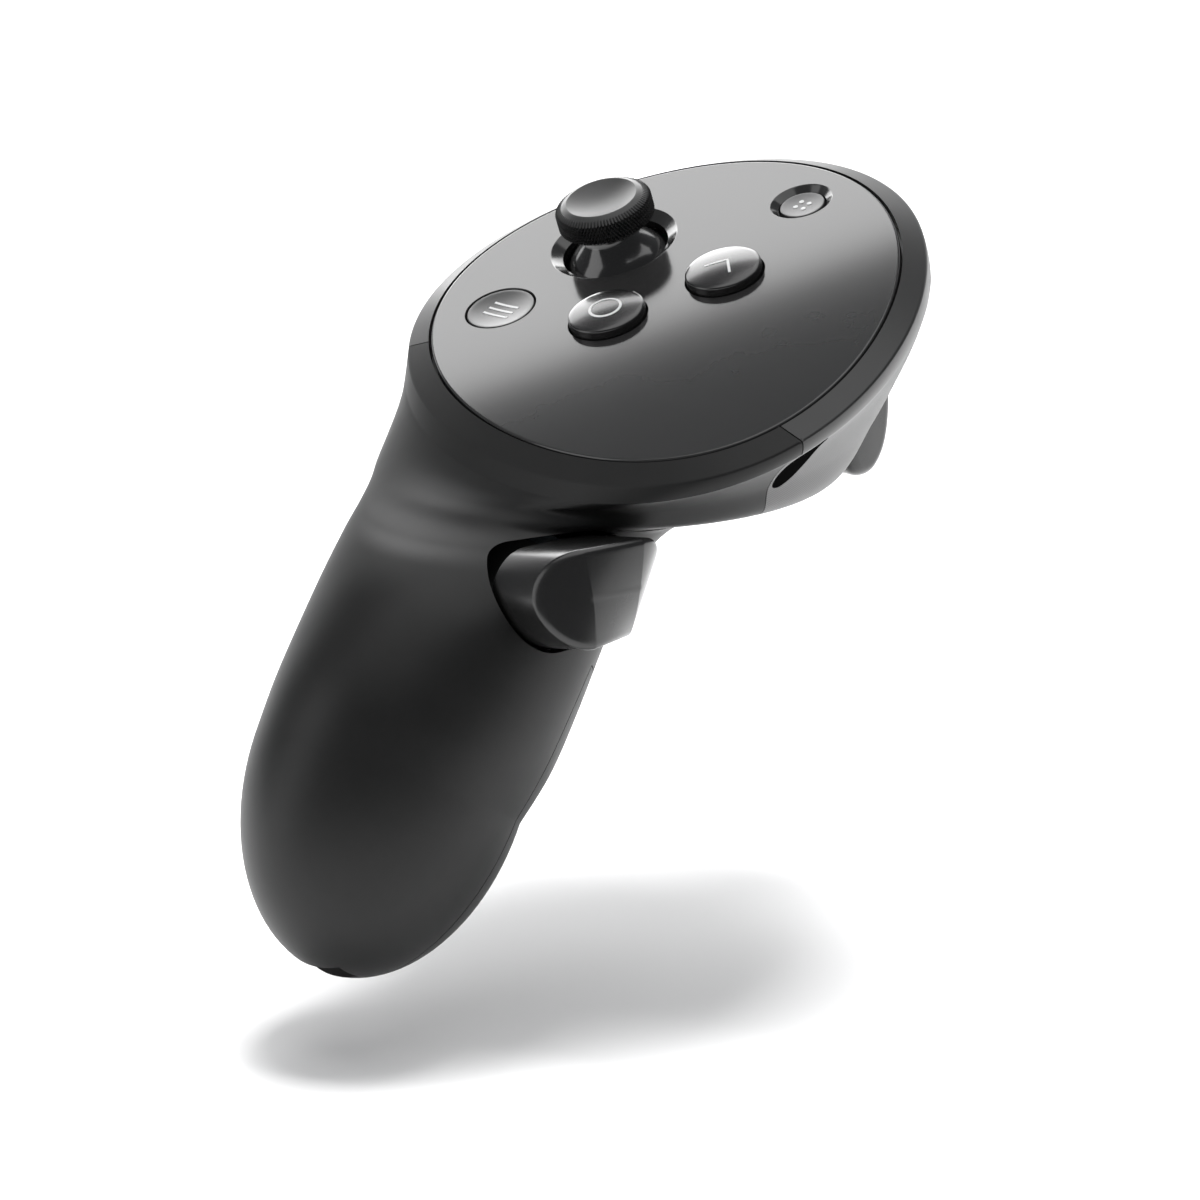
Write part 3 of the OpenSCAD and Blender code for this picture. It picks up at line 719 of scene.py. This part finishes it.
button("x_key", "button_x", X_AT, BUTTON_R, face_profile(BUTTON_R))
button("y_key", "button_y", Y_AT, BUTTON_R, face_profile(BUTTON_R))
MENU_TOP, MENU_DISH = -0.05, 0.35
HOME_TOP, HOME_DISH = -0.5, 0.12
button("menu_key", "button_menu", MENU_AT, MENU_R, dish_profile(MENU_R, MENU_TOP, MENU_DISH))
button("home_key", "button_home", HOME_AT, HOME_R, dish_profile(HOME_R, HOME_TOP, HOME_DISH))


def dish_height(r, rim, depth):
    return lambda x, y: rim - depth * (1 - (x * x + y * y) / (r * r))


def circle_path(r, n=48, cx=0.0, cy=0.0):
    steps = [2 * math.pi * k / n for k in range(n)]
    return [(cx + r * math.cos(a), cy + r * math.sin(a)) for a in steps]


def line_path(a, b, n=12):
    return [tuple(np.array(a) + (np.array(b) - np.array(a)) * k / (n - 1)) for k in range(n)]


add_mark("x_mark", "button_x", X_AT, [(circle_path(1.9), True)], 0.32, crown_height)
chevron = line_path((-2.0, -1.0), (0, 1.1)) + line_path((0, 1.1), (2.0, -1.0))[1:]
add_mark("y_mark", "button_y", Y_AT, [(chevron, False)], 0.32, crown_height)
add_mark("menu_mark", "button_menu", MENU_AT,
         [(line_path((-1.9, y), (1.9, y)), False) for y in (-1.1, 0, 1.1)], 0.34,
         dish_height(MENU_R, MENU_TOP, MENU_DISH))
add_mark("home_mark", "button_home", HOME_AT,
         [(circle_path(0.17, 16, x, y), True) for x in (-0.6, 0.6) for y in (-0.6, 0.6)], 0.3,
         dish_height(HOME_R, HOME_TOP, HOME_DISH))

# ---- the thumbstick ----
STICK_BASE = (*STICK_AT, STICK_PIVOT_Z)
CAP_LOW, CAP_HIGH = 8.8, 12.5          # the cap's lower and upper faces above the pivot
KNURL_N, KNURL_DEPTH = 84, 0.45


def knurled_cap():
    """The cap: a diamond knurl on its side, a rounded rim and a shallow dish."""
    across = KNURL_N * 4 * FINE
    angles = np.linspace(0, 2 * math.pi, across, endpoint=False)
    side = [(CAP_R - 1.0, CAP_LOW), (CAP_R - 0.55, CAP_LOW + 0.25)]
    band_low, band_high = CAP_LOW + 0.5, CAP_HIGH - 0.75
    band = [(CAP_R - 0.12, z) for z in np.linspace(band_low, band_high, 10 * FINE + 1)]
    rim = [(CAP_R - 0.5, CAP_HIGH - 0.35), (CAP_R - 0.95, CAP_HIGH - 0.08), (CAP_R - 1.2, CAP_HIGH)]
    dish_r = CAP_R - 1.35
    dish = [(dish_r * (1 - k / 12), CAP_HIGH - 0.05 - 0.75 * (1 - (1 - k / 12) ** 2)) for k in range(13)]
    profile = [(0, CAP_LOW), (3.3, CAP_LOW)] + side + band + rim + dish
    points, rows = [], []
    for r, z in profile:
        if r < 1e-6:
            rows.append([len(points)] * across)
            points.append([0, 0, z])
            continue
        teeth = 0.0
        share = min(1, max(0, (z - band_low + 0.2) / 0.3)) * min(1, max(0, (band_high + 0.35 - z) / 0.45))
        if r > CAP_R - 0.6:
            lean = (z - band_low) / 0.42 * math.pi
            one = np.abs(np.sin(KNURL_N / 2 * angles + lean / 2))
            two = np.abs(np.sin(KNURL_N / 2 * angles - lean / 2))
            teeth = KNURL_DEPTH * share * (np.minimum(one, two) * 1.5 - 0.25)
        rows.append(list(range(len(points), len(points) + across)))
        radius = r + teeth
        points += np.c_[radius * np.cos(angles), radius * np.sin(angles), np.full(across, z)].tolist()
    return new_mesh("thumb_cap", placed(points, np.eye(3), STICK_BASE), row_faces(rows))


finish_piece(smooth(knurled_cap(), 24), "stick_cap")
dome_profile = arc(0, 0, 6.6, 21.3, 77.8, 12)
dome_profile += [(1.4, 9.15), (3.2, 9.15), (3.2, 8.2), (3.3, 7.5), (3.6, 6.9), (4.1, 6.3)]
dome_profile += arc(0, 0, 7.4, 50, 18.9, 20)
dome = lathe("thumb_dome", dome_profile + dome_profile[:1], 64 * FINE, origin=STICK_BASE)
finish_piece(smooth(dome, 40), "stick_dome")

# ---- the trigger ----
TRIGGER_SIDE = [(23.6, -7.1), (25, -9), (25.9, -12.4), (28.8, -16.6), (29.5, -22), (28.8, -28.6),
                (26, -34.4), (22.4, -36.8), (19.2, -35.6), (18.4, -32), (18.8, -25), (18.7, -18),
                (18.9, -11), (20, -7.6), (22, -6.7)]
TRIGGER_EDGE = 1.5


def trigger_piece():
    """The side outline carried across the width and drawn in on a quarter circle at both ends."""
    outline = closed_curve(TRIGGER_SIDE, 72 * FINE)
    ahead = np.roll(outline, -1, 0) - np.roll(outline, 1, 0)
    inward = np.c_[ahead[:, 1], -ahead[:, 0]] / np.linalg.norm(ahead, axis=1, keepdims=True)
    if np.dot(inward[0], outline.mean(0) - outline[0]) < 0:
        inward = -inward
    rounds = [math.radians(90 * k / (4 * FINE)) for k in range(4 * FINE + 1)]
    steps = [(TRIGGER_EDGE * (1 - math.cos(a)), TRIGGER_EDGE * (1 - math.sin(a))) for a in rounds]
    places = [(TRIGGER_X + across, inwards) for across, inwards in steps]
    places += [(TRIGGER_X + TRIGGER_W - across, inwards) for across, inwards in reversed(steps)]
    rings = [np.c_[np.full(len(outline), x), outline + inward * d] for x, d in places]
    return new_mesh("index_trigger", *skin(rings))


index_trigger = finish_piece(smooth(trigger_piece(), 50), "trigger")

# ---- the grip button ----
PAD_EDGE = 0.8
PAD_BACK = 12.0                        # how far from the handle's middle the button's walls begin


def pad_height(y, z, grow=0.0):
    """Distance from the pad frame's origin plane to the oval, along the pressing axis."""
    start = placed([[0, y, z]], R_PAD, PAD_ORIGIN)[0] @ R_HANDLE
    d = R_PAD[:, 0] @ R_HANDLE
    cx, cy, a, b = PAD_OVAL
    px, py = (start[0] - cx) / (a + grow), (start[1] - cy) / (b + grow)
    dx, dy = d[0] / (a + grow), d[1] / (b + grow)
    half, square = px * dx + py * dy, dx * dx + dy * dy
    return (-half + math.sqrt(max(0, half * half - square * (px * px + py * py - 1)))) / square


def grip_pad():
    rows = []
    count = 24 * FINE
    middle = np.array(stadium(GRIP_LEN - GRIP_H + 0.02, 0.02, count)) + (GRIP_SHIFT, 0)
    full = np.array(stadium(GRIP_LEN, GRIP_H, count)) + (GRIP_SHIFT, 0)
    insets = [GRIP_H / 2 * (1 - k / 10) for k in range(10)]
    insets = [u for u in insets if u > PAD_EDGE]
    insets += [PAD_EDGE * (1 - math.sin(math.radians(90 * k / (4 * FINE)))) for k in range(4 * FINE + 1)]
    for u in insets:
        outline = full + (middle - full) * (u / (GRIP_H / 2))
        fall = PAD_EDGE - math.sqrt(max(0, PAD_EDGE ** 2 - max(0, PAD_EDGE - u) ** 2))
        rows.append([[pad_height(y, z) - fall, y, z] for y, z in outline])
    rows.append([[PAD_BACK, y, z] for x, y, z in rows[-1]])
    rows = [placed(np.array(row), R_PAD, PAD_ORIGIN) for row in rows]
    return new_mesh("grip_pad", *skin(rows))


finish_piece(smooth(grip_pad(), 50), "grip_button")

# ---- CAD nodes that keep their own shape ----
REPLACED = {"front_shell", "handle_shell", "battery_door", "window_side", "window_front", "face_plate",
            "button_x", "button_y", "button_menu", "button_home", "stick_cap", "stick_dome", "trigger",
            "grip_button"}
for name, obj in frame["nodes"].items():
    if name not in REPLACED:
        obj.data.materials.clear()
        obj.data.materials.append(MATERIALS[SLOT_OF[name]])
bpy.data.objects.remove(outer)

# ---- the studio ----
scene = bpy.context.scene
scene.view_settings.view_transform = "Standard"
AZIMUTH, ELEVATION = math.radians(42), math.radians(17.5)
BACK = np.array([math.sin(AZIMUTH) * math.cos(ELEVATION), -math.cos(AZIMUTH) * math.cos(ELEVATION),
                 math.sin(ELEVATION)])
RIGHT = np.array([math.cos(AZIMUTH), math.sin(AZIMUTH), 0])
UP = np.cross(BACK, RIGHT)
DISTANCE = 0.72857                     # from the camera to the plate's middle
PLATE_SHIFT = (0.0081, 0.0344)         # the plate's middle sits this far right and up of the view's axis
plate_middle = to_row([0, 0, 0])[0]
eye = plate_middle + BACK * DISTANCE - RIGHT * PLATE_SHIFT[0] - UP * PLATE_SHIFT[1]

camera_data = bpy.data.cameras.new("camera")
camera_data.lens = 183.6
camera_data.sensor_width = 36
camera_data.clip_start = 0.01
camera = bpy.data.objects.new("camera", camera_data)
camera.matrix_world = Matrix(np.column_stack([RIGHT, UP, BACK]).tolist()).to_4x4()
camera.location = eye
scene.collection.objects.link(camera)
scene.camera = camera

low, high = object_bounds()
FLOOR_DROP = 0.008


def floor_material():
    n = Nodes("studio_floor")
    n.link(n.mix(n.noise(2.0, 2), grey(0.93), grey(0.95)), n.shader.inputs["Base Color"])
    n.put(n.shader, Roughness=0.9)
    return n.mat


floor_mesh = bpy.data.meshes.new("floor")
half, z = 4.0, low[2] - FLOOR_DROP
corners = [(-half, -half, z), (half, -half, z), (half, half, z), (-half, half, z)]
floor_mesh.from_pydata(corners, [], [(0, 1, 2, 3)])
floor_mesh.materials.append(floor_material())
floor = bpy.data.objects.new("floor", floor_mesh)
scene.collection.objects.link(floor)


def area_light(name, width, height, radiance):
    """A rectangular light of a given brightness that the camera doesn't see."""
    data = bpy.data.lights.new(name, "AREA")
    data.shape = "RECTANGLE"
    data.size, data.size_y = width, height
    data.energy = radiance * math.pi * width * height
    light = bpy.data.objects.new(name, data)
    light.visible_camera = False
    scene.collection.objects.link(light)
    return light


def softbox(name, centre, target, width, height, radiance):
    """A rectangular light that faces a target."""
    light = area_light(name, width, height, radiance)
    light.rotation_euler = (Vector(target) - Vector(centre)).to_track_quat("-Z", "Y").to_euler()
    light.location = centre
    return light


def plate_softbox(edge_a, edge_b, reach, depth, radiance):
    """A softbox whose reflection in the plate ends along the line from edge_a to edge_b on the plate."""
    normal = R_PLATE @ np.array([0, 0, 1.0])
    mirrored = eye - 2 * normal * np.dot(eye - plate_middle, normal)
    ends = []
    for x, y in (edge_a, edge_b):
        point = to_row([x, y, 0])[0]
        ray = (point - mirrored) / np.linalg.norm(point - mirrored)
        ends.append(point + ray * reach)
    a, b = ends
    along = (b - a) / np.linalg.norm(b - a)
    middle = (a + b) / 2
    facing = plate_middle - middle
    facing = facing - along * np.dot(facing, along)
    facing = facing / np.linalg.norm(facing)
    away = np.cross(along, facing)
    if away[0] > 0:
        away = -away
    light = area_light("plate_softbox", np.linalg.norm(b - a) * 1.5, depth, radiance)
    side = np.cross(away, -facing)
    light.matrix_world = Matrix(np.column_stack([side, away, -facing]).tolist()).to_4x4()
    light.location = middle + away * depth / 2


def lights_only(light, objects):
    """Lets a light fall on these objects and nothing else."""
    lit = bpy.data.collections.new("lit_by_" + light.name)
    for obj in objects:
        lit.objects.link(obj)
    light.light_linking.receiver_collection = lit


plate_softbox((-12.3, -22.9), (18.6, 22.2), 0.11, 0.08, 4.6)
centre = (Vector(low) + Vector(high)) / 2
softbox("overhead", centre + Vector((0, 0.1, 1.2)), centre, 1.3, 1.3, 1.6)
toward_back = Vector((-BACK[0], -BACK[1], 0)).normalized()
floor_key = softbox("floor_key", centre + toward_back * 0.2 + Vector(RIGHT) * 0.08 + Vector((0, 0, 1.2)),
                    centre, 0.5, 0.5, 25.0)
lights_only(floor_key, [floor])
softbox("back_wall", centre - Vector(BACK) * 0.9 + Vector((0, 0, 0.35)), centre, 1.8, 0.9, 1.2)
softbox("left", centre - Vector(RIGHT) * 0.6 + Vector(BACK) * 0.15 + Vector((0, 0, 0.15)),
        centre, 0.35, 0.7, 1.6)
bounce = softbox("bounce", centre + Vector(RIGHT) * 0.22 + Vector(BACK) * 0.1 - Vector(UP) * 0.16,
        centre + Vector(UP) * 0.03 + Vector(RIGHT) * 0.03, 0.3, 0.2, 2.0)
lights_only(bounce, [front, index_trigger])

world = bpy.data.worlds.new("studio")
world.use_nodes = True
world.node_tree.nodes["Background"].inputs["Color"].default_value = (0.9, 0.92, 0.95, 1)
world.node_tree.nodes["Background"].inputs["Strength"].default_value = 0.2
scene.world = world
